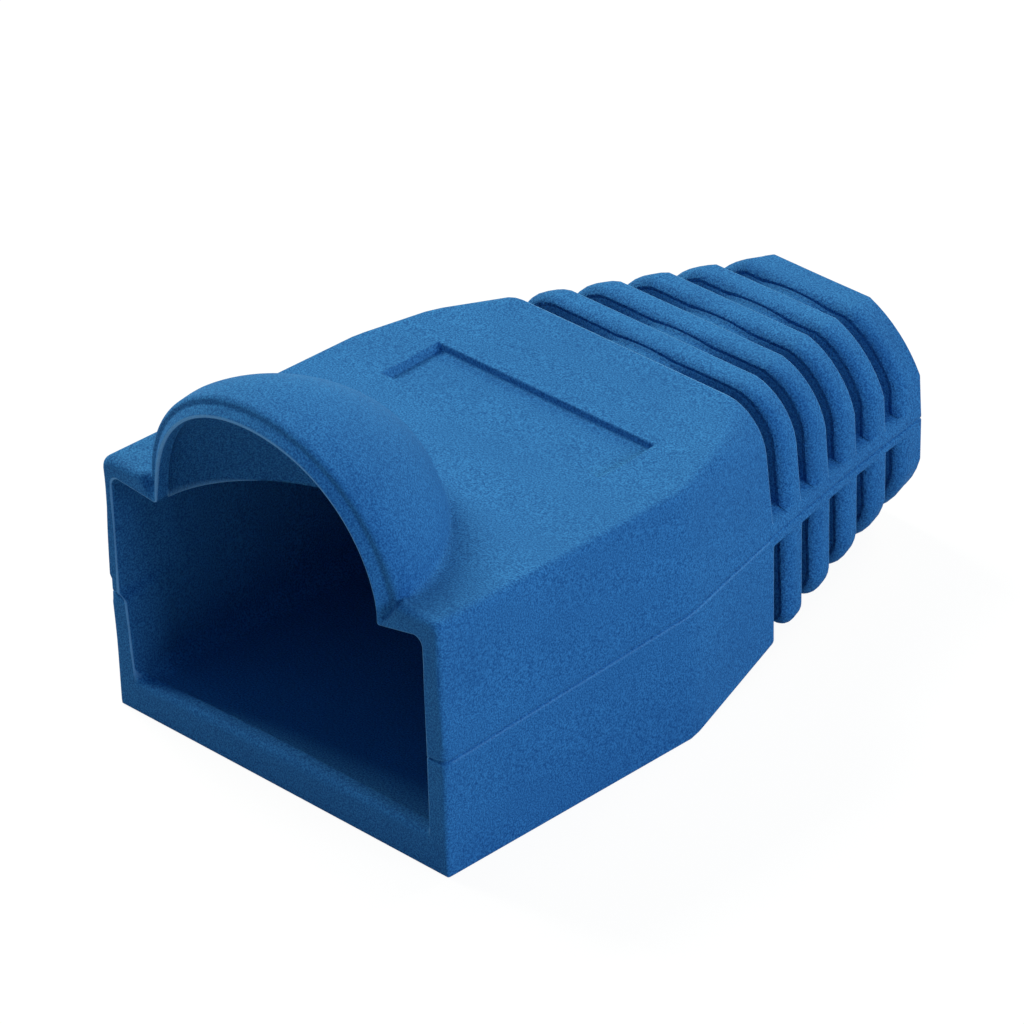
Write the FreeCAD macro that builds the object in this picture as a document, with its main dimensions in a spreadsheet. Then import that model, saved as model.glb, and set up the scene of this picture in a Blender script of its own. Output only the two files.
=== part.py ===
"""Strain relief boot for an 8P8C (RJ45) plug: one soft moulding.

The boot is drawn from its mouth plane (y = 0) towards the tail (+Y), with +Z up
and its flat underside at z = 0.  The body's Placement then moves the origin to
the middle of the bounding box's bottom face.
"""

import FreeCAD, Part
import math
import os

import Sketcher

V = FreeCAD.Vector

# Every driving dimension, in millimetres, counts or plain ratios.
SIZES = {
    # stations along the boot
    "bend_place": 9.70,
    "shoulder_place": 14.10,
    "rib_spacing": 1.57,
    "groove_width": 0.78,
    "groove_count": 5,
    "collar_length": 1.20,
    "waist_grooves": 3,
    # hood over the plug's latch
    "arch_height": 7.47,
    "arch_radius": 4.40,
    "lip_land": 0.08,
    "lip_lean": 0.10,
    "lip_bevel_rise": 0.55,
    "lip_bevel_depth": 0.375,
    "hood_radius": 5.13,
    "hood_skirt": 0.45,
    "hood_start": 0.60,
    "hood_end": 5.80,
    "hood_plan_power": 1.56,
    "hood_profile_power": 1.79,
    "hood_pocket_start": 0.90,
    "hood_pocket_end": 4.45,
    "hood_pocket_bulge": 1.15,
    # plug socket
    "mouth_half_width": 6.10,
    "mouth_floor": 1.28,
    "mouth_ceiling": 7.60,
    "mouth_round": 0.30,
    "lip_depth": 0.45,
    "socket_half_width": 6.22,
    "socket_floor": 0.90,
    "socket_depth": 9.20,
    "socket_rear_half_width": 6.02,
    "socket_rear_ceiling": 7.15,
    "funnel_end": 12.60,
    "funnel_half_width": 3.40,
    "funnel_floor": 1.40,
    "funnel_ceiling": 6.30,
    "socket_round": 0.60,
    # cable bore and the round core under the ribs
    "bore_diameter": 5.40,
    "bore_height": 3.80,
    "core_front_radius": 3.60,
    "core_front_height": 4.20,
    "core_rear_radius": 3.20,
    "core_rear_height": 3.85,
    "web_front_top": 4.68,
    "web_rear_top": 4.42,
    "web_front_bottom": 3.83,
    "web_rear_bottom": 3.58,
    # label recess on the top face
    "label_front": 8.61,
    "label_rear": 10.90,
    "label_half_length": 4.34,
    "label_floor": 7.84,
    # rounding of the mouth's upright corners
    "mouth_corner_round": 0.45,
}

# Outer sections: width at the parting line, heights of the top face, the base
# and the parting line, then how far each flank leans in and the run, drop and
# bulge of the upper and lower corners.  The first two bases lie a little below
# zero, where the flat underside is trimmed from them.
MEASURES = (
    "width", "top", "base", "parting",
    "upper_lean", "upper_run", "upper_drop", "upper_bulge",
    "lower_lean", "lower_run", "lower_rise", "lower_bulge",
)
STATIONS = {
    "mouth": (13.60, 8.24, -0.05, 3.71, 0.02, 0.32, 0.32, 0.094, 0.06, 0.32, 0.33, 0.095),
    "bend": (13.60, 8.04, -0.05, 4.14, 0.18, 0.42, 0.42, 0.123, 0.08, 0.40, 0.48, 0.127),
    "shoulder": (11.60, 8.22, 0.50, 4.24, 0.22, 1.30, 1.22, 0.370, 0.12, 0.60, 0.70, 0.190),
    "waist": (9.38, 7.72, 0.45, 3.93, 0.04, 1.45, 1.60, 0.300, 0.06, 1.20, 1.30, 0.250),
    "tail": (7.76, 7.06, 0.40, 3.76, 0.03, 1.86, 1.62, 0.130, 0.06, 1.80, 1.60, 0.130),
}

doc = FreeCAD.newDocument("StrainReliefBoot")


def fill_sheet():
    """Write every dimension into the sheet as a named cell."""
    sheet = doc.addObject("Spreadsheet::Sheet", "Sizes")
    rows = dict(SIZES)
    for station, values in STATIONS.items():
        for measure, value in zip(MEASURES, values):
            rows[f"{station}_{measure}"] = value
    for row, (alias, value) in enumerate(rows.items(), start=1):
        sheet.set(f"A{row}", str(value))
        sheet.setAlias(f"A{row}", alias)
    doc.recompute()
    return sheet


sheet = fill_sheet()
body = doc.addObject("PartDesign::Body", "Boot")
body.Label = "boot"


def size(alias):
    return float(sheet.get(alias))


def origin_plane(role):
    return next(item for item in body.Origin.OriginFeatures if item.Role == role)


def value_of(formula):
    """Work out a sheet formula in Python, for a sketch's first guess."""
    probe = sheet.evalExpression(formula.replace("Sizes.", ""))
    return float(getattr(probe, "Value", probe))


class Profile:
    """A sketch across or along the boot whose points are bound to the sheet."""

    def __init__(self, name, role="XZ_Plane", offset=None):
        self.sketch = body.newObject("Sketcher::SketchObject", name)
        self.sketch.AttachmentSupport = [(origin_plane(role), "")]
        self.sketch.MapMode = "FlatFace"
        if offset:
            self.sketch.setExpression("AttachmentOffset.Base.z", offset)
        self.count = 0

    def bind(self, constraint, formula):
        """Add a dimension and tie it to a formula of the sheet."""
        index = self.sketch.addConstraint(constraint)
        self.sketch.setExpression(f"Constraints[{index}]", formula)

    def line(self, start, end):
        return self.sketch.addGeometry(Part.LineSegment(V(*start, 0), V(*end, 0)), False)

    def arc(self, start, middle, end):
        points = [V(*point, 0) for point in (start, middle, end)]
        return self.sketch.addGeometry(Part.Arc(*points), False)

    def measure(self, kind, edge, corner, formula):
        """Set how far a point lies from the origin along one axis."""
        number = value_of(formula)
        if number < 0:
            self.bind(Sketcher.Constraint(kind, edge, corner, -1, 1, -number), f"-({formula})")
        else:
            self.bind(Sketcher.Constraint(kind, -1, 1, edge, corner, number), formula)

    def place(self, edge, corner, across, up):
        """Hold one end of an edge at (across, up), both formulas."""
        for kind, axis, formula in (("DistanceX", -2, across), ("DistanceY", -1, up)):
            if formula == "0":
                self.sketch.addConstraint(Sketcher.Constraint("PointOnObject", edge, corner, axis))
            else:
                self.measure(kind, edge, corner, formula)

    def outline(self, points, arcs=()):
        """Close a loop of formula points; arcs maps a point's index to its bulge."""
        arcs = dict(arcs)
        guess = [(value_of(across), value_of(up)) for across, up in points]
        edges = []
        reversed_arc = {}
        for index, start in enumerate(guess):
            end = guess[(index + 1) % len(guess)]
            if index in arcs:
                bulge = value_of(arcs[index])
                chord = math.dist(start, end)
                lean = ((end[1] - start[1]) / chord, (start[0] - end[0]) / chord)
                middle = tuple((start[k] + end[k]) / 2 + lean[k] * bulge for k in (0, 1))
                edges.append(self.arc(start, middle, end))
                reversed_arc[index] = bulge < 0
            else:
                edges.append(self.line(start, end))
        for index, edge in enumerate(edges):
            following = (index + 1) % len(edges)
            tail = 1 if reversed_arc.get(index) else 2
            head = 2 if reversed_arc.get(following) else 1
            self.sketch.addConstraint(
                Sketcher.Constraint("Coincident", edge, tail, edges[following], head))
        for index, edge in enumerate(edges):
            head = 2 if reversed_arc.get(index) else 1
            self.place(edge, head, *points[index])
        for index, bulge in arcs.items():
            following = points[(index + 1) % len(points)]
            self.hold_centre(edges[index], points[index], following, bulge)
        return self.sketch

    def hold_centre(self, edge, start, end, bulge):
        """Fix an arc's centre on the middle line of its chord."""
        across = f"(({end[0]}) - ({start[0]}))"
        up = f"(({end[1]}) - ({start[1]}))"
        chord = f"sqrt({across}^2 + {up}^2)"
        setback = f"(({bulge}) / 2 - {chord}^2 / (8 * ({bulge})))"
        if abs(value_of(across)) > abs(value_of(up)):
            kind = "DistanceY"
            formula = f"(({start[1]}) + ({end[1]})) / 2 - {across} / {chord} * {setback}"
        else:
            kind = "DistanceX"
            formula = f"(({start[0]}) + ({end[0]})) / 2 + {up} / {chord} * {setback}"
        self.measure(kind, edge, 3, formula)


def station_points(station):
    """The ten corners of an outer section, anticlockwise from its lower right."""
    cell = f"Sizes.{station}_"
    half = f"{cell}width / 2"
    high = f"{half} - {cell}upper_lean"
    low = f"{half} - {cell}lower_lean"
    right = [
        (f"{low} - {cell}lower_run", f"{cell}base"),
        (low, f"{cell}base + {cell}lower_rise"),
        (half, f"{cell}parting"),
        (high, f"{cell}top - {cell}upper_drop"),
        (f"{high} - {cell}upper_run", f"{cell}top"),
    ]
    left = [(f"-({across})", up) for across, up in reversed(right)]
    bulges = {0: f"{cell}lower_bulge", 3: f"{cell}upper_bulge",
              5: f"{cell}upper_bulge", 8: f"{cell}lower_bulge"}
    return right + left, bulges


def add_loft(kind, name, sketches, ruled=True):
    loft = body.newObject(f"PartDesign::{kind}", name)
    loft.Profile = sketches[0]
    loft.Sections = sketches[1:]
    loft.Ruled = ruled
    doc.recompute()
    return loft


def groove_start(index):
    return f"(Sizes.shoulder_place + {index} * Sizes.rib_spacing)"


TAIL_END = ("(Sizes.shoulder_place + (Sizes.groove_count - 1) * Sizes.rib_spacing"
            " + Sizes.groove_width + Sizes.collar_length)")


def outer_shell():
    """Straight-sided box, wedge and ribbed tail as one loft of five sections."""
    places = {
        "mouth": "0",
        "bend": "Sizes.bend_place",
        "shoulder": "Sizes.shoulder_place",
        "waist": "(Sizes.shoulder_place + Sizes.waist_grooves * Sizes.rib_spacing)",
        "tail": TAIL_END,
    }
    sketches = []
    for station, place in places.items():
        points, bulges = station_points(station)
        offset = None if place == "0" else f"-{place}"
        sketches.append(Profile(f"Section_{station}", offset=offset).outline(points, bulges))
    return add_loft("AdditiveLoft", "OuterShell", sketches)


def shape_change(before, grows, name):
    """Stop if a feature left the volume as it was or changed it the wrong way."""
    doc.recompute()
    change = body.Shape.Volume - before
    if change * (1 if grows else -1) <= 1e-4:
        raise RuntimeError(f"{name} did not change the solid as it should")


def flat_underside():
    """Trim what the box's loft leaves below zero, so that the boot stands on a true plane."""
    before = body.Shape.Volume
    profile = Profile("UndersideProfile", role="XY_Plane")
    half = "Sizes.mouth_width"
    profile.outline([
        (half, "-Sizes.shoulder_place"), (half, "Sizes.shoulder_place"),
        (f"-({half})", "Sizes.shoulder_place"), (f"-({half})", "-Sizes.shoulder_place")])
    cut = body.newObject("PartDesign::Pocket", "Underside")
    cut.Profile = profile.sketch
    cut.Type = "ThroughAll"
    shape_change(before, False, cut.Name)


def round_mouth_corners():
    """Soften the upright outer corners of the mouth, cut down from above."""
    corner = "Sizes.mouth_corner_round"
    for side, sign in (("Right", 1), ("Left", -1)):
        before = body.Shape.Volume
        half, start, outside = (
            f"{sign} * (Sizes.mouth_width / 2 + {step} * {corner})" for step in (0, -1, 1))
        profile = Profile(f"MouthCorner{side}Profile", role="XY_Plane", offset="Sizes.mouth_top")
        profile.outline(
            [(start, "0"), (start, f"-{corner}"), (outside, f"-{corner}"),
             (outside, corner), (half, corner)],
            {4: f"{-sign} * {corner} * (1 - sqrt(0.5))"})
        cut = body.newObject("PartDesign::Pocket", f"MouthCorner{side}")
        cut.Profile = profile.sketch
        cut.Type = "ThroughAll"
        shape_change(before, False, cut.Name)


def dome(name, place, half_width, rise, lean=False):
    """Half-round section of the hood on a short skirt that reaches down into the top wall."""
    profile = Profile(name, offset=f"-({place})")
    offset = profile.sketch.AttachmentOffset
    offset.Rotation = FreeCAD.Rotation(V(1, 0, 0), 1)
    profile.sketch.AttachmentOffset = offset
    profile.sketch.setExpression("AttachmentOffset.Base.y", "Sizes.arch_height")
    angle = "atan(Sizes.lip_lean)" if lean else "0"
    profile.sketch.setExpression("AttachmentOffset.Rotation.Angle", angle)
    skirt = "-Sizes.hood_skirt"
    profile.outline(
        [(half_width, skirt), (half_width, "0"), (f"-({half_width})", "0"), (f"-({half_width})", skirt)],
        {1: rise})
    return profile.sketch


def hood():
    """The visor over the latch: a bevelled lip that leans forward, then a dome."""
    before = body.Shape.Volume
    land = "Sizes.arch_radius + Sizes.lip_land"
    bevel = f"{land} + Sizes.lip_bevel_rise"
    root = dome("HoodRoot", "Sizes.hood_start", "Sizes.hood_radius", "Sizes.hood_radius")
    lip = [
        dome("LipFront", "0", land, land, lean=True),
        dome("LipBevel", "Sizes.lip_bevel_depth", bevel, bevel, lean=True),
        root,
    ]
    add_loft("AdditiveLoft", "Lip", lip)
    shape_change(before, True, "Lip")
    before = body.Shape.Volume
    shares = (0.25, 0.5, 0.7, 0.85, 0.94, 0.995)
    sections = [root]
    for number, share in enumerate(shares, start=1):
        place = f"Sizes.hood_start + {share} * (Sizes.hood_end - Sizes.hood_start)"
        width, rise = (
            f"Sizes.hood_radius * (1 - {share} ^ Sizes.{power}) ^ (1 / Sizes.{power})"
            for power in ("hood_plan_power", "hood_profile_power"))
        sections.append(dome(f"HoodSection{number}", place, width, rise))
    add_loft("AdditiveLoft", "Hood", sections, ruled=False)
    shape_change(before, True, "Hood")


def hood_pocket():
    """Hollow of the hood: a round arch that closes behind in a quarter dome."""
    before = body.Shape.Volume
    profile = Profile("HoodPocketProfile", role="YZ_Plane")
    profile.sketch.AttachmentOffset = FreeCAD.Placement(V(0, 0, 0), FreeCAD.Rotation())
    profile.sketch.setExpression("AttachmentOffset.Base.y", "Sizes.arch_height")
    profile.outline(
        [
            ("-Sizes.arch_radius", "0"),
            ("Sizes.hood_pocket_end", "0"),
            ("Sizes.hood_pocket_start", "Sizes.arch_radius"),
            ("-Sizes.arch_radius", "Sizes.arch_radius"),
        ],
        {1: "Sizes.hood_pocket_bulge"})
    cut = body.newObject("PartDesign::Groove", "HoodPocket")
    cut.Profile = profile.sketch
    cut.ReferenceAxis = (profile.sketch, ["H_Axis"])
    cut.Angle = 360
    shape_change(before, False, "HoodPocket")


def rounded_box(name, place, half_width, floor, ceiling, corner):
    """Section of the socket with four round corners."""
    low = f"{floor} + {corner}"
    high = f"{ceiling} - {corner}"
    near = f"{half_width} - {corner}"
    right = [(near, floor), (half_width, low), (half_width, high), (near, ceiling)]
    left = [(f"-({across})", up) for across, up in reversed(right)]
    bulge = f"{corner} * (1 - sqrt(0.5))"
    offset = None if place == "0" else f"-({place})"
    profile = Profile(name, offset=offset)
    return profile.outline(right + left, {0: bulge, 2: bulge, 4: bulge, 6: bulge})


def socket():
    """Plug socket: a mouth with a low lip, a box for the plug and a funnel."""
    before = body.Shape.Volume
    mouth = rounded_box(
        "MouthProfile", "0", "Sizes.mouth_half_width", "Sizes.mouth_floor",
        "Sizes.mouth_ceiling", "Sizes.mouth_round")
    opening = body.newObject("PartDesign::Pocket", "Mouth")
    opening.Profile = mouth
    opening.setExpression("Length", "2 * Sizes.lip_depth")
    shape_change(before, False, "Mouth")
    before = body.Shape.Volume
    sections = [
        rounded_box("SocketFront", "Sizes.lip_depth", "Sizes.socket_half_width",
                    "Sizes.socket_floor", "Sizes.mouth_ceiling", "Sizes.socket_round"),
        rounded_box("SocketRear", "Sizes.socket_depth", "Sizes.socket_rear_half_width",
                    "Sizes.socket_floor", "Sizes.socket_rear_ceiling", "Sizes.socket_round"),
        rounded_box("FunnelEnd", "Sizes.funnel_end", "Sizes.funnel_half_width",
                    "Sizes.funnel_floor", "Sizes.funnel_ceiling", "Sizes.socket_round"),
    ]
    add_loft("SubtractiveLoft", "Socket", sections)
    shape_change(before, False, "Socket")


def bore():
    """Round cable bore from the funnel out through the tail."""
    before = body.Shape.Volume
    profile = Profile("BoreProfile", offset="-(Sizes.funnel_end - Sizes.lip_depth)")
    circle = profile.sketch.addGeometry(
        Part.Circle(V(0, size("bore_height"), 0), V(0, 0, 1), size("bore_diameter") / 2), False)
    profile.place(circle, 3, "0", "Sizes.bore_height")
    profile.bind(Sketcher.Constraint("Radius", circle, size("bore_diameter") / 2),
                 "Sizes.bore_diameter / 2")
    cut = body.newObject("PartDesign::Pocket", "Bore")
    cut.Profile = profile.sketch
    cut.Type = "ThroughAll"
    shape_change(before, False, "Bore")


def label_recess():
    """Shallow frame for a label on the top face."""
    before = body.Shape.Volume
    profile = Profile("LabelProfile", role="XY_Plane", offset="Sizes.mouth_top")
    half = "Sizes.label_half_length"
    profile.outline([
        (half, "Sizes.label_front"), (half, "Sizes.label_rear"),
        (f"-({half})", "Sizes.label_rear"), (f"-({half})", "Sizes.label_front")])
    cut = body.newObject("PartDesign::Pocket", "LabelRecess")
    cut.Profile = profile.sketch
    cut.setExpression("Length", "Sizes.mouth_top - Sizes.label_floor")
    shape_change(before, False, "LabelRecess")


def along_tail(front, rear, place):
    """A size that runs evenly from the shoulder to the tail's end."""
    share = f"(({place}) - Sizes.shoulder_place) / ({TAIL_END} - Sizes.shoulder_place)"
    return f"(Sizes.{front} + (Sizes.{rear} - Sizes.{front}) * {share})"


def rib_groove(index, above):
    """One slot above or below the side web, down to the round core."""
    before = body.Shape.Volume
    place = groove_start(index)
    side = "Upper" if above else "Lower"
    ledge = along_tail("web_front_top", "web_rear_top", place) if above else \
        along_tail("web_front_bottom", "web_rear_bottom", place)
    core = along_tail("core_front_radius", "core_rear_radius", place)
    height = along_tail("core_front_height", "core_rear_height", place)
    reach = "Sizes.shoulder_width"
    half = f"sqrt({core}^2 - ({ledge} - {height})^2)"
    far = f"({height} + {reach})" if above else f"({height} - {reach})"
    crown = f"({core} - ({ledge} - {height}))" if above else f"({core} + ({ledge} - {height}))"
    points = [
        (half, ledge), (reach, ledge), (reach, far),
        (f"-({reach})", far), (f"-({reach})", ledge), (f"-({half})", ledge)]
    profile = Profile(f"Groove{side}{index + 1}Profile", offset=f"-{place}")
    bulge = f"-({crown})" if above else crown
    profile.outline(points, {5: bulge})
    cut = body.newObject("PartDesign::Pocket", f"Groove{side}{index + 1}")
    cut.Profile = profile.sketch
    cut.setExpression("Length", "Sizes.groove_width")
    shape_change(before, False, cut.Name)


def move_origin():
    """Put the origin in the middle of the bounding box's bottom face."""
    overhang = "(Sizes.arch_radius + Sizes.lip_land) * sin(atan(Sizes.lip_lean))"
    body.setExpression("Placement.Base.y", f"-({TAIL_END} - {overhang}) / 2")
    doc.recompute()


def check_model():
    """Refuse to write anything from a document with a failed object."""
    for item in doc.Objects:
        if {"Invalid", "Error"} & set(item.State):
            raise RuntimeError(f"{item.Name} failed: {item.getStatusString()}")
    shape = body.Shape
    if shape.isNull() or not shape.isValid() or len(shape.Solids) != 1:
        raise RuntimeError("the boot is not one valid solid")


def main():
    outer_shell()
    flat_underside()
    round_mouth_corners()
    hood()
    hood_pocket()
    socket()
    bore()
    label_recess()
    for index in range(int(size("groove_count"))):
        rib_groove(index, above=True)
        rib_groove(index, above=False)
    move_origin()
    check_model()
    os.makedirs("parts", exist_ok=True)
    body.Shape.exportStep(f"parts/{body.Label}.step")
    box = body.Shape.optimalBoundingBox()
    print(f"{body.Label}: {body.Shape.Volume:.1f} mm3, {len(body.Shape.Faces)} faces,"
          f" box {box.XLength:.2f} x {box.YLength:.2f} x {box.ZLength:.2f} mm,"
          f" from y {box.YMin:.3f} to {box.YMax:.3f}")


main()
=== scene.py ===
"""Looks of a strain relief boot for an 8P8C network plug, moulded in one piece in soft PVC.

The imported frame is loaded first.  The boot is one closed skin worked out on a grid: columns run
round the boot and rows run from the mouth's edge over the front face, along the outside, round
the cable end and back through the bore and the socket.  Lengths are millimetres measured from
the mouth plane until they are moved into the frame.
"""

import math
from types import SimpleNamespace

import bpy
import numpy as np
from mathutils import Matrix, Vector


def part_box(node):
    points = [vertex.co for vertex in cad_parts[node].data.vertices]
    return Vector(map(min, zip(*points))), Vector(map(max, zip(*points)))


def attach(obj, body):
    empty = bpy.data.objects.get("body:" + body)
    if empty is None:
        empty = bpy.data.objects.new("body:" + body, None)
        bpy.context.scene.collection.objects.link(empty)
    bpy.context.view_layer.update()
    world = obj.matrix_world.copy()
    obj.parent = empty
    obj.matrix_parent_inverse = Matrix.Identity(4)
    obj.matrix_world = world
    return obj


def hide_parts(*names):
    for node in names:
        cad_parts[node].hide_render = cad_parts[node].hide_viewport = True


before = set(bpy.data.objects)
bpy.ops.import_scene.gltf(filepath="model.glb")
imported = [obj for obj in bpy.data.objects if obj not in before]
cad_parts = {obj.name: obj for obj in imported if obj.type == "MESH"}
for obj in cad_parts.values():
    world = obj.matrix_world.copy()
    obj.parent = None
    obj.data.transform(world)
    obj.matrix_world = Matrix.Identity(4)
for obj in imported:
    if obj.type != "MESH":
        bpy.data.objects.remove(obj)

bl_info = {
    "name": "Strain relief boot",
    "version": (1, 0, 0),
    "blender": (4, 5, 0),
    "location": "3D View > Sidebar > Boot",
    "description": "Builds a ribbed strain relief boot in moulded soft PVC round its packed frame",
    "category": "Object",
}

MM = 0.001
NODE = "boot"
BODY = "root"

# Where the boot stands in the frame: its cable end is the far end of the frame's box.
TAIL_END = 22.36
FRAME_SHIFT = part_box(NODE)[1][1] / MM - TAIL_END

# Outer sections along the boot.  Each row gives the distance from the mouth, the half width at
# the parting line, the heights of the top, the base and the parting line, then for the upper
# and the lower corner how far the flank leans in, the corner's run and drop, and its bulge.
STATIONS = np.array([
    (0.00, 6.80, 8.24, 0.00, 3.79, 0.02, 0.28, 0.28, 0.082, 0.09, 0.06, 0.06, 0.016),
    (9.70, 6.80, 8.06, 0.00, 4.14, 0.16, 0.22, 0.22, 0.064, 0.02, 0.04, 0.04, 0.011),
    (12.10, 6.25, 8.18, 0.25, 4.20, 0.19, 0.46, 0.44, 0.130, 0.07, 0.15, 0.17, 0.045),
    (14.10, 5.80, 8.24, 0.47, 4.24, 0.22, 1.46, 1.40, 0.380, 0.10, 0.28, 0.32, 0.090),
    (18.81, 4.61, 7.64, 0.45, 3.93, 0.04, 1.78, 1.93, 0.350, 0.06, 1.20, 1.30, 0.270),
    (22.36, 3.90, 7.08, 0.40, 3.76, 0.03, 1.98, 1.90, 0.240, 0.06, 1.90, 1.98, 0.330),
])

# Places of the features round one half of a section, from the middle of the top to the middle
# of the base: hood foot, upper corner, slot ledges, web, parting line and lower corner.
(TOP, FOOT, RIDGE, FLANK, LEDGE_OUT, LEDGE_IN, SEAM_TOP, SEAM_BASE, LOW_LEDGE_IN, LOW_LEDGE_OUT,
 LOW_FLANK, LOW_RIDGE, BASE) = range(13)

# Label recess in the top: its half width, front, rear and depth, the run of its front and rear
# walls, and the part of a column that takes its side walls.
LABEL_HALF = 4.34
LABEL_FRONT = 8.61
LABEL_REAR = 10.90
LABEL_DEPTH = 0.24
LABEL_WALL = 0.05
FOOT_GAP = 0.011

# Half width of the foot's column at both ends of the tail.
TAIL_FOOT = (3.0816, 1.4328)

# Web between the upper and the lower grooves: its reach above and below the parting line at both
# ends of the tail, and half the height of its ledges.
WEB_ABOVE = (0.36, 0.46)
WEB_BELOW = (0.29, 0.19)
LEDGE = 0.03

# Parting line: half its width, its depth, and the strength of a painted highlight along its lower
# lip.
SEAM_HALF = 0.06
SEAM_DEPTH = 0.08
SEAM_HIGHLIGHT = 0.3

# Grooves: their number, the slope of their walls, how much of a groove's depth a rib's shoulder
# may take, and the shares of a column over which a groove and a shoulder end at the web.
GROOVES = 5
GROOVE_SLOPE = 0.05
SHOULDER_LIMIT = 0.75
GROOVE_END = 0.09
SHOULDER_END = 0.05

# Roundings of the ribs' rear rims, the cable end, the bore's edge and the socket's corners.
RIM_ROUND = 0.05
END_ROUND = 0.16
BORE_ROUND = 0.2
SOCKET_CORNER = 0.6

# Where the grid's rows of the hood, of the top behind it, of the top before the grooves and of
# the hollow end, and the depth of the hollow's wall.
HOOD_ROWS_END = 4.30
BEHIND_END = 8.30
TOP_ROWS_END = 13.8
HOLLOW_CREASE_END = 3.20
HOLLOW_ROWS_END = 5.60
HOLLOW_WALL = 0.50

# The hood's hollow: how far its centre lies below the arch's and its root behind the wall, how
# much higher than wide it is, its share of spark texture and the painted highlight at its foot.
HOLLOW_DROP = 0.25
HOLLOW_STEP = 0.08
HOLLOW_RISE = 0.17
HOLLOW_SPARK = 0.5
HOLLOW_HIGHLIGHT_REACH = 0.03

# Creases: how often they are rounded, and how far the rounding reaches, in columns before and
# after the dome's foot and in rows round the dome's end.
CREASE_ROUNDS = 14
CREASE_REACH = (0.066, 0.20)
LOOP_REACH = 6.0

# Tooth where the arch meets the ceiling: how often and how far along the columns it is rounded,
# and how late the arch turns into it.  The lip's outer edge takes a share of the arch's swell.
TOOTH_ROUNDS = 4
TOOTH_REACH = 0.09
TOOTH_POWER = 8
LIP_SWELL = 0.4

# Bulge of the mouth's corners as a share of their chord.
CORNER_BULGE = 0.20

# Depths over which the socket meets the mouth's edge: at the ceiling, at the right side as a
# share of the left side's, and behind the lower lip, which is full from its place on.
CEILING_DEPTH = 0.9
RIGHT_SHARE = 0.4
LIP_STEP = 0.025
LIP_PLACE = 10.7

# Rounding of the edge between the front face and the outside, and of the mouth's own edge, at
# places round the half ring.
OUTER_PLACES = [0.0, 0.97, 1.12, 2.0, 2.6, 10.2, 10.8, 12.0]
OUTER_ROUND = [0.12, 0.12, 0.28, 0.28, 0.26, 0.20, 0.10, 0.10]
FACE_ROWS = np.array([0.0, 0.05, 0.14, 0.32, 0.5, 0.57, 0.61, 0.69, 0.78, 0.86, 0.93, 1.0])
MOUTH_PLACES = [0.0, 0.9, 1.0, 10.0, 10.8, 12.0]
MOUTH_ROUND = [0.15, 0.12, 0.06, 0.06, 0.30, 0.34]

# Across the lip, from the arch's edge to the dome: share of its width and share of its depth.
LIP_PLACES = [0.0, 0.10, 0.57, 0.60, 0.78, 0.86, 0.93, 1.0]
LIP_FALLS = [0.0, 0.0, 0.80, 0.81, 0.80, 0.83, 0.89, 1.0]

# The floor lies a hair under the boot.  Each lamp's azimuth, in degrees round from the mouth, and
# elevation: the key lamp stands on the left, the others behind and on the right.
FLOOR = -0.01 * MM
FLOOR_HALF = 1.5
LAMP_ANGLES = {"key": (270.0, 45.0), "rear": (180.0, 35.0), "side": (93.0, 23.0)}

# The camera and the lamps look at this point, in millimetres from the mouth plane.
TARGET = (-2.234, 11.5, 2.98)

# Edge of the plug opening on each side: tooth, end of the ceiling, top of the side, both sides
# of the parting line, foot of the side and end of the floor.
MOUTH_RIGHT = ((4.32, 7.25), (5.80, 7.56), (6.10, 7.26), (6.06, 3.76), (6.06, 3.66), (6.02, 1.52),
               (5.78, 1.26))
MOUTH_LEFT = ((4.52, 7.53), (6.15, 7.68), (6.44, 7.38), (6.45, 3.78), (6.16, 3.60), (6.02, 1.42),
              (5.70, 1.12))


def length(name, description, millimetres):
    """A property of the panel that holds a length."""
    return bpy.props.FloatProperty(
        name=name, description=description, default=millimetres * MM, unit="LENGTH", precision=6)


def ratio(name, description, value):
    """A property of the panel that holds a plain number."""
    return bpy.props.FloatProperty(name=name, description=description, default=value)


def hex_to_linear(code):
    """Turn an sRGB hex colour into linear red, green and blue."""
    channels = np.array([int(code[k:k + 2], 16) for k in (1, 3, 5)]) / 255.0
    return np.where(channels <= 0.04045, channels / 12.92, ((channels + 0.055) / 1.055) ** 2.4)


def colour(name, description, code):
    """A property of the panel that holds a linear colour."""
    return bpy.props.FloatVectorProperty(
        name=name, description=description, default=tuple(hex_to_linear(code)),
        subtype="COLOR", size=3, min=0.0, max=1.0)


class HoodSizes(bpy.types.PropertyGroup):
    """The visor over the plug's latch."""

    arch_height: length("Arch height", "Height of the arch's centre above the base", 7.47)
    arch_radius: length("Arch radius", "Radius of the hood's open edge", 4.40)
    arch_square: length("Arch squareness", "How far the arch swells towards its shoulders", 0.10)
    lip_lean: ratio("Lip lean", "How far the lip leans out over the mouth, by its height", 0.10)
    lip_width: length("Lip width", "Width of the lip from the arch's edge to the dome", 0.63)
    lip_depth: length("Lip depth", "How far the lip falls back", 0.375)
    radius: length("Hood radius", "Outer radius behind the lip", 5.13)
    root: length("Hood root", "Where the dome starts behind the mouth", 0.60)
    end: length("Hood end", "Where the dome would close behind the mouth", 5.80)
    plan_power: ratio("Plan power", "Power of the dome's outline seen from above", 1.56)
    profile_power: ratio("Profile power", "Power of the dome's outline seen from the side", 1.79)
    hollow_radius: length("Hollow radius", "Inner radius behind the lip", 4.72)
    hollow_root: length("Hollow root", "Depth of the lip's inner wall", 0.55)
    hollow_end: length("Hollow end", "Where the hollow closes behind the mouth", 4.25)
    hollow_power: ratio("Hollow power", "Power of the hollow's outline", 2.0)


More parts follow.
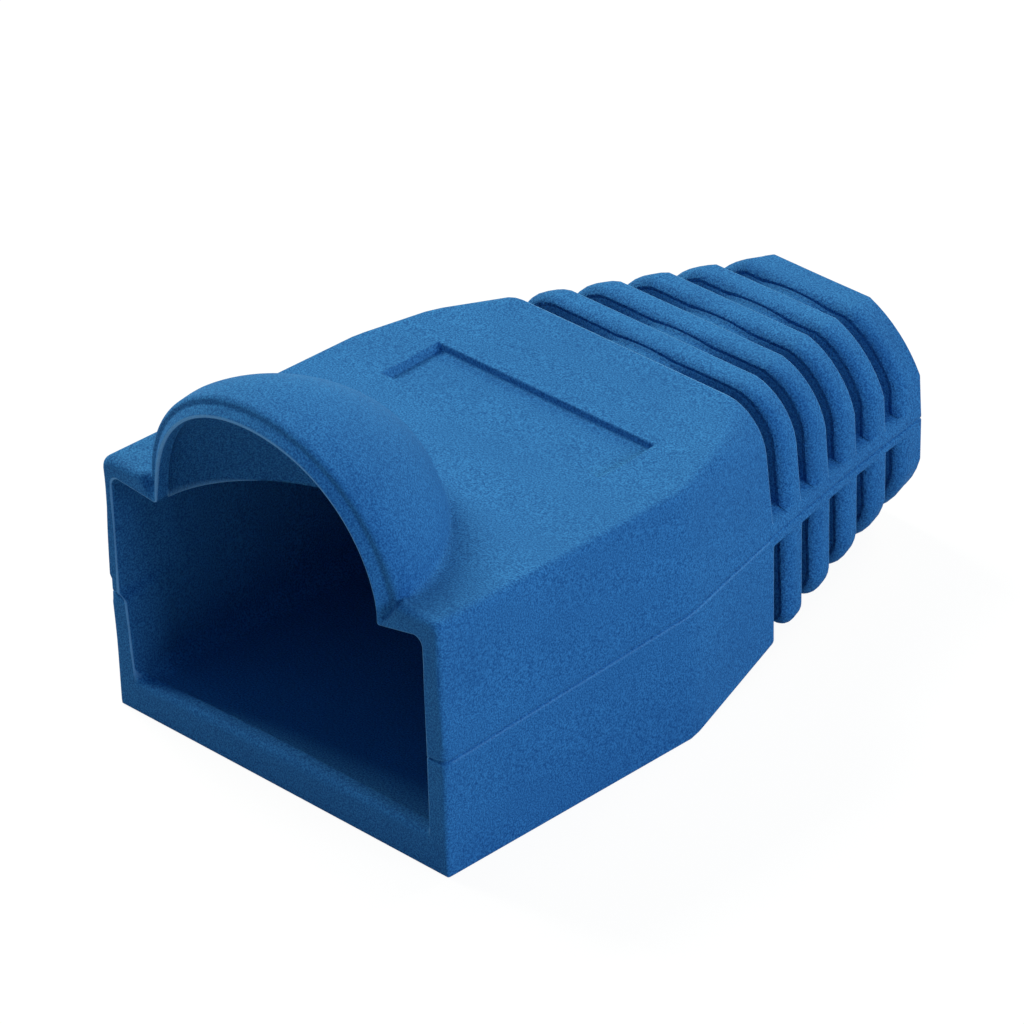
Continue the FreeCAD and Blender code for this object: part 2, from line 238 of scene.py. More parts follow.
class MouthSizes(bpy.types.PropertyGroup):
    """The plug socket and its mouth."""

    lip_height: length("Lip height", "Height of the lower lip above the base", 1.28)
    lip_depth: length("Lip depth", "Depth of the lower lip", 0.45)
    side_depth: length("Side depth", "Depth over which the left wall meets the mouth's edge", 2.1)
    socket_half: length("Socket half width", "Half width of the socket behind the lip", 6.22)
    socket_floor: length("Socket floor", "Thickness of the floor behind the lip", 0.90)
    ceiling: length("Ceiling", "Height of the socket's ceiling at the mouth", 7.42)
    rear_place: length("Rear place", "Where the socket turns into the funnel", 9.20)
    rear_half: length("Rear half width", "Half width of the socket at its rear", 6.02)
    rear_ceiling: length("Rear ceiling", "Height of the ceiling at the rear", 7.15)
    funnel_end: length("Funnel end", "Where the funnel meets the bore", 12.60)
    funnel_half: length("Funnel half width", "Half width of the funnel's end", 3.40)
    funnel_floor: length("Funnel floor", "Height of the funnel's floor at its end", 1.40)
    funnel_ceiling: length("Funnel ceiling", "Height of the funnel's ceiling at its end", 6.30)
    bore_radius: length("Bore radius", "Radius of the cable bore", 2.70)
    bore_height: length("Bore height", "Height of the bore's axis", 3.80)


class TailSizes(bpy.types.PropertyGroup):
    """The ribbed tail."""

    groove_start: length("First groove", "Where the first groove starts", 14.10)
    groove_spacing: length("Groove spacing", "Distance from one groove to the next", 1.57)
    groove_width: length("Groove width", "Width of a groove", 0.78)
    shoulder_round: length("Shoulder round", "Rounding of each rib's front shoulder", 0.45)
    crown_depth: length("Crown depth", "How far the core's crown lies below the ribs", 0.34)
    core_front: length("Core half width, front", "Half width of the core at the first groove", 4.35)
    core_rear: length("Core half width, rear", "Half width of the core at the cable end", 3.30)
    core_height: length("Core height", "Height of the core's axis", 4.00)


def in_millimetres(group):
    """Read a property group's lengths in millimetres and its ratios as they are."""
    values = {}
    for key, item in group.bl_rna.properties.items():
        if item.type == "FLOAT" and not item.is_array:
            scale = MM if item.unit == "LENGTH" else 1.0
            values[key] = getattr(group, key) / scale
    return SimpleNamespace(**values)


# ---- Grid tools

def spread(cells, gap=0.0, before=0, after=0):
    """Shares from 0 up to 1, without the 1: even cells with a few crowded ones at either end."""
    middle = np.linspace(before * gap, 1.0 - after * gap, cells + 1)
    head = gap * np.arange(before)
    tail = 1.0 - gap * np.arange(after)[::-1]
    return np.concatenate([head, middle, tail])[:-1]


def down_to_end(cells, gap=0.0, before=0, after=0):
    """The same shares, without the 0 and with the 1."""
    return np.append(spread(cells, gap, before, after)[1:], 1.0)


def arc_points(start, end, bulge, share):
    """Points of circular arcs that stand out to the left of the way from start to end.

    A chord c with a bulge b belongs to a circle of radius (c^2 / 4 + b^2) / 2b.  The share runs
    evenly through the arc's turn, and a chord without a bulge is a straight line.
    """
    chord = end - start
    span = np.maximum(np.linalg.norm(chord, axis=-1), 1e-9)
    curved = bulge > 1e-6
    height = np.where(curved, bulge, 1.0)
    radius = (span ** 2 / 4 + height ** 2) / (2 * height)
    half_turn = np.arcsin(unit(span / (2 * radius)))
    turn = half_turn * (2 * share - 1)
    along = np.where(curved, radius * np.sin(turn) / span + 0.5, share)
    out = np.where(curved, radius * (np.cos(turn) - np.cos(half_turn)), 0.0)
    left = np.stack([-chord[..., 1], chord[..., 0]], axis=-1) / span[..., None]
    return start + chord * along[..., None] + left * out[..., None]


def walk(corners, bulges):
    """Points at each column's place on rings given by their feature corners and bulges."""
    index = np.minimum(PLACE.astype(int), BASE - 1)
    return arc_points(corners[:, index], corners[:, index + 1], bulges[:, index], PLACE - index)


def lerp(start, end, share):
    """Point or value part of the way from start to end."""
    return start + (end - start) * share


def unit(value):
    """Keep a value between 0 and 1."""
    return np.clip(value, 0.0, 1.0)


def smooth_step(value):
    """Ease from 0 to 1 as 3v^2 - 2v^3."""
    value = unit(value)
    return value * value * (3 - 2 * value)


def fall_off(distance, reach):
    """1 at no distance, and down evenly to 0 at the reach."""
    return unit(1 - np.abs(distance) / reach)


def length_share(ring):
    """Share of the half ring's length at which each column lies."""
    steps = np.linalg.norm(np.diff(ring, axis=-2), axis=-1)
    run = np.concatenate([np.zeros(steps.shape[:-1] + (1,)), np.cumsum(steps, axis=-1)], axis=-1)
    return run / run[..., -1:]


def at_depth(ring, y):
    """Put rings of (x, z) points at their distance from the mouth."""
    y = np.asarray(y, dtype=float)
    y = y[:, None] if y.ndim == 1 else y
    return np.dstack([ring[..., 0], np.broadcast_to(y, ring.shape[:-1]), ring[..., 1]])


def bend(first, corner, last, cells):
    """Rows of a rounded edge: a parabola from first to last, whose tangents meet in the corner."""
    share = np.linspace(0, 1, cells + 1)[1:, None, None]
    return (1 - share) ** 2 * first + 2 * share * (1 - share) * corner + share ** 2 * last


def soften(rows, weight, rounds):
    """Round a crease: each round moves a point by its weight towards its neighbours' middle.

    The first column lies in the plane of symmetry, so its missing neighbour is its mirror.
    """
    for _ in range(rounds):
        mirror = rows[:, 1:2] * np.array([-1.0, 1.0, 1.0])
        left = np.concatenate([mirror, rows[:, :-1]], axis=1)
        right = np.concatenate([rows[:, 1:], rows[:, -1:]], axis=1)
        above = np.concatenate([rows[:1], rows[:-1]])
        below = np.concatenate([rows[1:], rows[-1:]])
        rows = lerp(rows, (left + right + above + below) / 4, weight[..., None])
    return rows


def mark(rows, spark=0.0, edge=0.0):
    """Add two channels to rows of points: coarse spark texture and a painted edge highlight."""
    shape = rows.shape[:2]
    return np.dstack([rows, np.broadcast_to(spark, shape), np.broadcast_to(edge, shape)])


def columns():
    """Places of one half's columns between the features, crowded where an edge runs along."""
    parts = (
        spread(41, FOOT_GAP, 0, 5), spread(6, 0.038, 5, 0), spread(8), spread(9, 0.02, 0, 6),
        spread(3), spread(3), spread(4), spread(3), spread(3), spread(7, 0.02, 6, 0),
        spread(7), spread(10))
    half = np.concatenate([index + part for index, part in enumerate(parts)])
    return np.append(half, float(BASE))


# The columns of one half, and which of them lie over the arch, beside it and on the top.  PARTING
# is a fine V along the parting line: 1 in its middle, 0 beside it.
PLACE = columns()
ARCH = PLACE <= FOOT
BESIDE = (PLACE >= FOOT) & (PLACE <= RIDGE)
FLAT = PLACE <= RIDGE
FOOT_COLUMN = int(np.searchsorted(PLACE, FOOT))
RIDGE_COLUMN = int(np.searchsorted(PLACE, RIDGE))
PARTING = fall_off(PLACE - (SEAM_TOP + 0.5), 0.5)


# ---- Outer skin

def top_line(y):
    """Height of the boot's top along the boot."""
    return np.interp(y, STATIONS[:, 0], STATIONS[:, 2])


def rim_rings(y, tail):
    """Feature corners and bulges of the outer section at each y, straight between stations."""
    (half, top, base, seam, upper_lean, upper_run, upper_drop, upper_bulge,
     lower_lean, lower_run, lower_rise, lower_bulge) = (
        np.interp(y, STATIONS[:, 0], STATIONS[:, k]) for k in range(1, STATIONS.shape[1]))
    high = half - upper_lean
    low = half - lower_lean
    flat = high - upper_run
    foot = np.interp(y, [LABEL_REAR + 0.3, tail.groove_start, TAIL_END], [LABEL_HALF, *TAIL_FOOT])
    web = unit((y - tail.groove_start) / (TAIL_END - tail.groove_start))
    upper_web = seam + lerp(*WEB_ABOVE, web)
    lower_web = seam - lerp(*WEB_BELOW, web)
    flank = top - upper_drop
    low_flank = base + lower_rise

    def upper(z):
        """Half width and height of a point on the flank above the parting line."""
        return lerp(half, high, (z - seam) / (flank - seam)), z

    def lower(z):
        """Half width and height of a point on the flank below the parting line."""
        return lerp(half, low, (seam - z) / (seam - low_flank)), z

    zero = np.zeros_like(y)
    corners = np.stack([np.stack(point, axis=-1) for point in (
        (zero, top), (foot, top), (flat, top), upper(flank), upper(upper_web + LEDGE),
        upper(upper_web - LEDGE), upper(seam + SEAM_HALF), lower(seam - SEAM_HALF),
        lower(lower_web + LEDGE), lower(lower_web - LEDGE), lower(low_flank),
        (low - lower_run, base), (zero, base))], axis=1)
    bulges = np.zeros((len(y), BASE))
    bulges[:, RIDGE] = upper_bulge
    bulges[:, LOW_FLANK] = lower_bulge
    return corners, bulges


def rim(y, tail):
    """Outer skin without grooves: only the parting line is cut."""
    ring = walk(*rim_rings(y, tail))
    ring[..., 0] -= SEAM_DEPTH * PARTING
    return at_depth(ring, y)


def core(ring, tail):
    """Bottom of the grooves: two half ellipses, over and under the core's axis.

    Their crowns lie a little below the ribs.  Above the web the angle from the crown grows with
    the share of the rim's length down to the web's ledge, and below the web in the same way.
    """
    along = (ring[:, :1, 1] - tail.groove_start) / (TAIL_END - tail.groove_start)
    half = lerp(tail.core_front, tail.core_rear, unit(along))
    rise = ring[:, :1, 2] - tail.crown_depth - tail.core_height
    fall = tail.core_height - tail.crown_depth - ring[:, -1:, 2]
    share = length_share(ring)

    def turns(share, ledge, reach):
        """Turn from a crown at each share, where the ledge ends both the share and the turn."""
        end = int(np.searchsorted(PLACE, ledge))
        last = np.arccos(np.clip((ring[:, end, 2:] - tail.core_height) / reach, -1, 1))
        return last * unit(share / share[:, end, None])

    upper = PLACE < SEAM_TOP + 0.5
    turn = np.where(upper, turns(share, LEDGE_OUT, rise), turns(1 - share, LOW_LEDGE_OUT, -fall))
    up = tail.core_height + np.where(upper, rise, -fall) * np.cos(turn)
    return np.dstack([half * np.sin(turn), ring[..., 1], up])


def tail_rows(tail):
    """Rows of the ribbed tail as y, groove depth share, shoulder share and rounding of the rim."""
    rows = []
    groove_start = tail.groove_start
    for index in range(GROOVES):
        front = tail.groove_start + index * tail.groove_spacing
        rear = front + tail.groove_width
        for y in np.linspace(groove_start, front - 0.15, 5)[1 if index else 4:]:
            rows.append((y, 0.0, 0.0, 0.0))
        for turn in np.radians(range(0, 91, 30)):
            rows.append((front - RIM_ROUND * (1 - math.sin(turn)), 0.0, 0.0, 1 - math.cos(turn)))
        for depth in (0.04, 0.3, 0.55, 0.8, 0.95):
            rows.append((front + GROOVE_SLOPE * depth, depth, 0.0, 0.0))
        for share in (0.08, 0.18, 0.5, 0.82, 0.92):
            rows.append((lerp(front, rear, share), 1.0, 0.0, 0.0))
        for depth in (0.95, 0.8, 0.55, 0.3, 0.1):
            rows.append((rear - GROOVE_SLOPE * depth, depth, 1.0, 0.0))
        for turn in np.radians(range(0, 91, 15)):
            sunk = 1 - math.sin(turn)
            rows.append((rear + tail.shoulder_round * (1 - math.cos(turn)), 0.0, sunk, 0.0))
        groove_start = rear + tail.shoulder_round
    for y in np.linspace(groove_start, TAIL_END - END_ROUND, 6)[1:]:
        rows.append((y, 0.0, 0.0, 0.0))
    return np.array(rows).T


def cut_grooves(rows, tail):
    """Outer skin of the tail: between the rim and the core by each row's depth.

    Each groove ends over the web in a quarter round.  The shoulder share rounds a rib's front
    edge by up to the shoulder radius, or by most of the groove's own depth where that is less.
    """
    y, depth, shoulder, rounding = rows
    ring = rim(y, tail)
    floor = core(ring, tail)
    deep = np.maximum(np.linalg.norm(floor - ring, axis=-1), 1e-6)
    above_web = np.maximum(LEDGE_OUT - PLACE, PLACE - LOW_LEDGE_OUT)
    rise = unit(above_web / GROOVE_END)
    open_share = np.sqrt(1 - (1 - rise) ** 2)
    fade = smooth_step(above_web / SHOULDER_END)
    limit = np.minimum(tail.shoulder_round, SHOULDER_LIMIT * deep)
    rounded = limit / deep * shoulder[:, None] * fade
    nick = RIM_ROUND / deep * rounding[:, None] * open_share
    share = depth[:, None] * open_share
    share = np.maximum(share + (1 - share) * rounded, nick)
    spark = unit(depth + shoulder * (shoulder < 0.97))[:, None] * open_share
    # Painted highlight along each rib's rounded rear rim.
    edge = (rounding > 0)[:, None] * (open_share > 0.5)
    return mark(lerp(ring, floor, share[..., None]), spark, edge)


# ---- Hood and its hollow

def half_disc(across, along):
    """Map a half square on a half disc: x = u * sqrt(1 - v^2 / 2), y = v * sqrt(1 - u^2 / 2)."""
    x = across * np.sqrt(1 - along ** 2 / 2)
    y = along * np.sqrt(1 - across ** 2 / 2)
    return x / np.sqrt(np.maximum(1 - y ** 2, 1e-9)), y


def dome(along, lip, shape):
    """Part of a dome that stands out of a flat face, from its lip to the crease round its foot.

    Behind its root each cross section is half an ellipse whose half width and rise fall as
    (1 - s^p)^(1 / p), with one power p for each, while s runs from the root to the end.  The
    turn from the crown grows with the share across, and ends where the ellipse meets the face.
    Between lip and root the skin is straight.
    """
    share, depth = half_disc(PLACE[ARCH], along)
    crown = 1 - unit((shape.face(shape.end) - shape.centre) / shape.rise) ** shape.rise_power
    last = crown ** (1 / shape.rise_power)
    straight = shape.root / (shape.root + last * (shape.end - shape.root))
    run = last * unit((depth - straight) / (1 - straight))
    width = shape.width * (1 - run ** shape.width_power) ** (1 / shape.width_power)
    rise = shape.rise * (1 - run ** shape.rise_power) ** (1 / shape.rise_power)
    y = lerp(shape.root, shape.end, run)
    turn = share * np.arccos(np.clip((shape.face(y) - shape.centre) / rise, -1.0, 1.0))
    skin = np.stack([width * np.sin(turn), y, shape.centre + rise * np.cos(turn)], axis=-1)
    near = unit(depth / straight)[..., None]
    return np.where(depth[..., None] < straight, lerp(lip(turn), skin, near), skin)


def arch_swell(turn, hood):
    """The arch is a little square: its radius swells by sin^2 of twice the turn."""
    return hood.arch_square * np.sin(2 * turn) ** 2


def round_arch(radius, turn, y, hood):
    """Points round the arch's centre, at a radius and a turn from the crown."""
    up = hood.arch_height + radius * np.cos(turn)
    return np.stack([radius * np.sin(turn), np.broadcast_to(y, up.shape), up], axis=-1)


def lip_edge(turn, hood):
    """Outer edge of the lip at each turn from the crown."""
    rise = hood.arch_radius + hood.lip_width + LIP_SWELL * arch_swell(turn, hood)
    return round_arch(rise, turn, hood.lip_depth - hood.lip_lean * (rise * np.cos(turn)), hood)


def dome_root(turn, hood):
    """The dome's root behind the lip, at each turn from the crown."""
    return round_arch(hood.radius, turn, hood.root, hood)


def arch_edge(turn, last, reach, hood):
    """Inner edge of the arch at each turn, which ends at the tooth at its reach."""
    radius = hood.arch_radius + arch_swell(turn, hood)
    radius = lerp(radius, reach, unit(turn / last) ** TOOTH_POWER)
    return round_arch(radius, turn, -hood.lip_lean * np.maximum(radius * np.cos(turn), 0.0), hood)


def beside_the_dome(rows):
    """Lay the face between a dome's crease and the upper corner: straight lines across."""
    share = (PLACE[BESIDE] - FOOT)[:, None]
    rows[:, BESIDE] = lerp(rows[:, FOOT_COLUMN, None], rows[:, RIDGE_COLUMN, None], share)
    return rows


# ---- One half of the boot's skin

def mouth_corners(side):
    """Corners of the plug opening on the right half, where side is 1, or on the left, -1."""
    return [np.array(corner) for corner in (MOUTH_RIGHT if side > 0 else MOUTH_LEFT)]


def tooth_turn(side, hood):
    """Turn from the crown and distance from the arch's centre at which the arch's tooth lies."""
    across, height = mouth_corners(side)[0]
    drop = height - hood.arch_height
    return math.atan2(across, drop), math.hypot(across, drop)


def mouth_ring(side, hood, mouth):
    """Edge of the plug opening: the arch, its blunt tooth, the ceiling, the side and the lip."""
    tooth, ceiling_end, side_top, seam_top, seam_base, side_low, floor_end = mouth_corners(side)
    upper = [lerp(side_top, seam_top, share) for share in (0.45, 0.85)]
    lower = [lerp(seam_base, side_low, share) for share in (0.25, 0.45)]
    corners = np.array([[(0.0, tooth[1]), tooth, ceiling_end, side_top, *upper, seam_top, seam_base,
                         *lower, side_low, floor_end, (0.0, mouth.lip_height)]])
    bulges = np.zeros((1, BASE))
    bulges[:, RIDGE] = CORNER_BULGE * math.dist(ceiling_end, side_top)
    bulges[:, LOW_FLANK] = CORNER_BULGE * math.dist(side_low, floor_end)
    ring = at_depth(walk(corners, bulges), [0.0])
    last, reach = tooth_turn(side, hood)
    ring[0, ARCH] = arch_edge(last * PLACE[ARCH], last, reach, hood)
    blunt = fall_off(PLACE - FOOT, TOOTH_REACH)[None]
    return soften(ring, blunt, TOOTH_ROUNDS)[0]


def front_face(ring, hood, tail):
    """Rows from the mouth's edge over the front face and the lip to the start of the outside.

    The face runs straight from the mouth to the outer edge.  On the lip it leans back, then
    stands upright in a shallow crease and turns into the dome.  Both edges are rounded.
    """
    outer = rim(np.zeros(1), tail)[0]
    foot_turn = math.acos((top_line(0.0) - hood.arch_height) / (hood.arch_radius + hood.lip_width))
    turn = foot_turn * PLACE[ARCH]
    outer[ARCH] = lip_edge(turn, hood)
    foot = outer[FOOT_COLUMN].copy()
    share = PLACE[BESIDE] - FOOT
    outer[BESIDE, 0] = lerp(foot[0], outer[RIDGE_COLUMN, 0], share)
    outer[BESIDE, 1] = foot[1] * (1 - smooth_step(share / 0.2))
    groove = SEAM_DEPTH * PARTING
    outer[:, 1] += groove
    backwards = np.tile([0.0, 1.0, 0.0], (len(PLACE), 1))
    backwards[ARCH] = dome_root(turn, hood) - outer[ARCH]
    backwards /= np.linalg.norm(backwards, axis=-1, keepdims=True)
    outer_round = np.interp(PLACE, OUTER_PLACES, OUTER_ROUND)[:, None]
    width = np.linalg.norm(outer - ring, axis=-1, keepdims=True)
    first = np.minimum(np.interp(PLACE, MOUTH_PLACES, MOUTH_ROUND)[:, None] / width, 0.35)
    last = 1 - np.minimum(outer_round / width, 0.6)
    share = lerp(first, last, FACE_ROWS[:, None, None])
    rows = lerp(ring, outer, share)
    fall = np.interp(share[..., 0], LIP_PLACES, LIP_FALLS)
    rows[..., 1] = lerp(ring[:, 1], outer[:, 1] - groove, fall) + groove
    edge = bend(rows[-1], outer, outer + backwards * outer_round, 7)
    return np.concatenate([rows, edge]), outer_round[:, 0]


def outside(start, outer_round, hood, tail):
    """Rows of the outer skin from the front edge to the cable end."""
    shape = SimpleNamespace(
        centre=hood.arch_height, root=hood.root, end=hood.end, width=hood.radius, rise=hood.radius,
        width_power=hood.plan_power, rise_power=hood.profile_power, face=top_line)

    def lip(turn):
        """The rounded edge's end, just behind the lip."""
        edge = lip_edge(turn, hood)
        back = dome_root(turn, hood) - edge
        return edge + outer_round[0] * back / np.linalg.norm(back, axis=-1, keepdims=True)

    along = down_to_end(30, 0.012, 0, 4)[:, None]
    hood_rows = rim(lerp(0.0, HOOD_ROWS_END, along[:, 0]), tail)
    hood_rows[..., 1] = lerp(outer_round, HOOD_ROWS_END, along)
    hood_rows[:, ARCH] = dome(along, lip, shape)
    beside_the_dome(hood_rows)
    straight = beside_the_dome(start[None].copy())[0]
    hood_rows[:, BESIDE] += (start - straight)[BESIDE] * (1 - along[..., None]) ** 4

    share = down_to_end(9, 0.016, 4, 0)
    behind = rim(lerp(HOOD_ROWS_END, BEHIND_END, share), tail)
    target = rim(np.array([BEHIND_END]), tail)[0]
    behind[:, FLAT] = lerp(hood_rows[-1, FLAT], target[FLAT], share[:, None, None])
    behind[:, FLAT, 2] = top_line(behind[:, FLAT, 1])
    front_half = np.concatenate([hood_rows, behind])
    crease = fall_off(PLACE - FOOT, np.where(PLACE < FOOT, *CREASE_REACH))
    rows = np.arange(len(front_half))[:, None]
    end = len(hood_rows) - 1
    weight = np.where(rows <= end, crease, 0.0)
    weight = np.maximum(weight, fall_off(rows - end, LOOP_REACH) * ARCH) * unit(rows / 2.0)
    front_half = soften(front_half, smooth_step(1.5 * weight), CREASE_ROUNDS)

    y, sunk = label_rows()
    label = rim(y, tail)
    label[..., 2] -= LABEL_DEPTH * sunk[:, None] * unit((FOOT - PLACE) / FOOT_GAP)
    ribs = cut_grooves(tail_rows(tail), tail)
    # Painted highlight along the parting line's lower lip.
    lower_lip = SEAM_HIGHLIGHT * (PLACE == SEAM_BASE)[None]
    return np.concatenate([mark(front_half, 0.0, lower_lip), mark(label, 0.0, lower_lip), ribs])


def label_rows():
    """Rows from the hood to the tail, crowded at the recess's walls, and how far each is sunk."""
    share = np.array([0.0, 0.3, 0.7, 1.0])
    y = np.concatenate([
        LABEL_FRONT - np.array([0.16, 0.08, 0.03]), LABEL_FRONT + LABEL_WALL * share,
        np.linspace(LABEL_FRONT + 0.12, LABEL_REAR - 0.12, 6), LABEL_REAR - LABEL_WALL * share[::-1],
        LABEL_REAR + np.array([0.03, 0.08, 0.18]), np.linspace(LABEL_REAR + 0.5, TOP_ROWS_END, 6)])
    return y, smooth_step(np.minimum(y - LABEL_FRONT, LABEL_REAR - y) / LABEL_WALL)


def cable_end(last, mouth):
    """Rows round the cable end, over the end face and into the bore, and the bore's turns."""
    turn = math.pi * length_share(last[:, ::2])
    circle = np.stack([np.sin(turn), np.zeros_like(turn), np.cos(turn)], axis=-1)
    bore = mouth.bore_radius * circle + [0.0, TAIL_END, mouth.bore_height]
    outer = last.copy()
    outer[:, 1] = TAIL_END
    inward = bore - outer
    start = outer + inward * (END_ROUND / np.linalg.norm(inward, axis=-1, keepdims=True))
    bore_edge = bore + BORE_ROUND * circle
    face = lerp(start, bore_edge, np.array([0.3, 0.65, 0.9, 1.0])[:, None, None])
    lip = bend(bore_edge, bore, bore - [0.0, BORE_ROUND, 0.0], 5)
    return mark(np.concatenate([bend(last, outer, start, 6), face, lip])), turn


def inner_ring(half, floor, ceiling):
    """Rounded box section of the socket or the funnel; its sides' corners only divide them."""
    corner = SOCKET_CORNER
    seam = 0.5 * (floor + ceiling)
    corners = np.array([[
        (0.0, ceiling), (0.72 * half, ceiling), (half - corner, ceiling), (half, ceiling - corner),
        (half, lerp(ceiling, seam, 0.6)), (half, lerp(ceiling, seam, 0.85)), (half, seam + 0.1),
        (half, seam - 0.1), (half, lerp(seam, floor, 0.2)), (half, lerp(seam, floor, 0.4)),
        (half, floor + corner), (half - corner, floor), (0.0, floor)]])
    bulges = np.zeros((1, BASE))
    bulges[:, [RIDGE, LOW_FLANK]] = corner * (1 - math.sqrt(0.5))
    return walk(corners, bulges)[0]


def bore_and_funnel(turn, mouth):
    """Rows from the cable end through the bore and the funnel to the socket's rear."""
    funnel = inner_ring(mouth.funnel_half, mouth.funnel_floor, mouth.funnel_ceiling)
    rear = inner_ring(mouth.rear_half, mouth.socket_floor, mouth.rear_ceiling)
    share = np.linspace(0, 1, 9)[1:]
    angle = lerp(turn, math.pi * length_share(funnel), share[:, None])
    circle = np.stack([np.sin(angle), np.cos(angle)], axis=-1)
    bore = circle * mouth.bore_radius + [0.0, mouth.bore_height]
    end = mouth.funnel_end - 0.06
    step = np.array([0.04, 0.3, 0.7, 0.96, 1.0])
    slope = down_to_end(7, 0.012, 2, 2)
    return np.concatenate([
        at_depth(bore, lerp(TAIL_END - BORE_ROUND, mouth.funnel_end, share)),
        at_depth(lerp(bore[-1], funnel, step[:, None, None]), lerp(mouth.funnel_end, end, step)),
        at_depth(lerp(funnel, rear, slope[:, None, None]), lerp(end, mouth.rear_place, slope))])


def socket(y, ring, side, mouth):
    """Rows of the socket at each y, which meet the mouth's edge over a depth of their own.

    Between its start and its end before the mouth a column goes straight from the box section
    to the mouth's edge.  For the floor both lie close together, behind the lower lip.
    """
    rear = inner_ring(mouth.rear_half, mouth.socket_floor, mouth.rear_ceiling)
    front = inner_ring(mouth.socket_half, mouth.socket_floor, mouth.ceiling)
    side_depth = mouth.side_depth if side < 0 else RIGHT_SHARE * mouth.side_depth
    start = np.interp(PLACE, [RIDGE, FLANK, LOW_FLANK, LIP_PLACE],
                      [CEILING_DEPTH, side_depth, side_depth, mouth.lip_depth + LIP_STEP])
    end = np.interp(PLACE, [LOW_FLANK, LIP_PLACE], [0.0, mouth.lip_depth])
    share = (1 - y / mouth.rear_place)[..., None]
    blend = unit((start - y) / (start - end))
    return at_depth(lerp(lerp(rear, front, share), ring[:, ::2], blend[..., None]), y)


def inside(side, turn, ring, face_start, hood, mouth):
    """Rows of the bore, the funnel, the socket and the hood's hollow, back to the mouth."""
    last, reach = tooth_turn(side, hood)

    def ceiling(y):
        """The socket's ceiling falls evenly to the rear."""
        return lerp(mouth.ceiling, mouth.rear_ceiling, y / mouth.rear_place)

    def wall(turn):
        """The hollow starts behind the arch's edge, at the depth of its wall."""
        return arch_edge(np.clip(turn, 0, last), last, reach, hood) + [0.0, HOLLOW_WALL, 0.0]

    shape = SimpleNamespace(
        centre=hood.arch_height - HOLLOW_DROP, root=hood.hollow_root + HOLLOW_STEP,
        end=hood.hollow_end, width=hood.hollow_radius, rise=hood.hollow_radius + HOLLOW_RISE,
        width_power=hood.hollow_power, rise_power=hood.hollow_power, face=ceiling)
    deep = down_to_end(5, 0.012, 2, 0)[:, None]
    deep_rows = socket(lerp(mouth.rear_place, HOLLOW_ROWS_END, deep), ring, side, mouth)

    along = 1 - down_to_end(24, 0.014, 3, 0)[:, None]
    pocket = socket(lerp(hood.hollow_root, HOLLOW_CREASE_END, along), ring, side, mouth)
    pocket[:, ARCH] = dome(along, wall, shape)
    beside_the_dome(pocket)

    share = down_to_end(6, 0.02, 0, 3)[:, None]
    behind = socket(lerp(HOLLOW_ROWS_END, HOLLOW_CREASE_END, share), ring, side, mouth)
    loop = socket(np.array([[HOLLOW_CREASE_END]]), ring, side, mouth)
    loop[:, ARCH] = dome(np.ones((1, 1)), wall, shape)
    loop = beside_the_dome(loop)[0]
    behind[:, FLAT] = lerp(deep_rows[-1, FLAT], loop[FLAT], share[..., None])
    behind[:, FLAT, 2] = ceiling(behind[:, FLAT, 1])

    near = np.array([0.2, 0.36, 0.47, 0.6, 0.8, 1.0])[:, None]
    mouth_round = np.interp(PLACE, MOUTH_PLACES, MOUTH_ROUND)
    rows = socket(lerp(hood.hollow_root, mouth_round, near), ring, side, mouth)
    wall_end = lerp(ring, pocket[-1], (mouth_round / HOLLOW_WALL)[:, None])
    rows[:, FLAT] = lerp(pocket[-1, FLAT], wall_end[FLAT], near[..., None])
    edge = bend(rows[-1], ring, face_start, 5)[:-1]
    # Painted highlight along the mouth's rounded edge, full at the sides and fading out towards the
    # lower lip.
    mouth_highlight = np.interp(PLACE, [LOW_FLANK, LIP_PLACE], [1.0, 0.0])
    # Painted highlight along the hollow's foot, where it meets the ceiling.
    crease = fall_off(PLACE - FOOT, HOLLOW_HIGHLIGHT_REACH)
    return np.concatenate([
        mark(bore_and_funnel(turn, mouth)), mark(deep_rows), mark(behind),
        mark(pocket, HOLLOW_SPARK * ARCH, crease), mark(rows), mark(edge, 0.0, mouth_highlight)])


def half_boot(side, hood, mouth, tail):
    """All rows of one half of the skin, from the mouth's edge round and back to it."""
    ring = mouth_ring(side, hood, mouth)
    front, outer_round = front_face(ring, hood, tail)
    outer = outside(front[-1], outer_round, hood, tail)
    end, turn = cable_end(outer[-1, :, :3], mouth)
    inner = inside(side, turn, ring, front[0], hood, mouth)
    return np.concatenate([mark(front), outer, end, inner])


def boot_skin(hood, mouth, tail):
    """Join both halves in closed rings, right half first, then the left one back to the top."""
    right = half_boot(1, hood, mouth, tail)
    left = half_boot(-1, hood, mouth, tail)
    mirror = np.array([-1.0, 1.0, 1.0, 1.0, 1.0])
    return np.concatenate([right, left[:, -2:0:-1] * mirror], axis=1)


def grid_mesh(name, skin):
    """A closed mesh from a grid whose rows and columns both run round: one quad per cell.

    The grid's fourth and fifth channels become the attributes spark and edge; edge marks a painted
    highlight.
    """
    rows, cols = skin.shape[:2]
    index = np.arange(rows * cols).reshape(rows, cols)
    along = np.roll(index, -1, axis=0)
    quads = np.stack([index, np.roll(index, -1, axis=1), np.roll(along, -1, axis=1), along], axis=-1)
    points = skin[..., :3].reshape(-1, 3)
    mesh = bpy.data.meshes.new(name)
    mesh.vertices.add(len(points))
    mesh.vertices.foreach_set("co", points.astype(np.float32).ravel())
    mesh.loops.add(quads.size)
    mesh.loops.foreach_set("vertex_index", quads.astype(np.int32).ravel())
    mesh.polygons.add(quads.size // 4)
    mesh.polygons.foreach_set("loop_start", np.arange(0, quads.size, 4, dtype=np.int32))
    mesh.polygons.foreach_set("use_smooth", np.ones(quads.size // 4, dtype=bool))
    for channel, title in ((3, "spark"), (4, "edge")):
        layer = mesh.attributes.new(title, "FLOAT", "POINT")
        layer.data.foreach_set("value", skin[..., channel].astype(np.float32).ravel())
    mesh.update()
    mesh.validate()
    return mesh


# ---- Materials

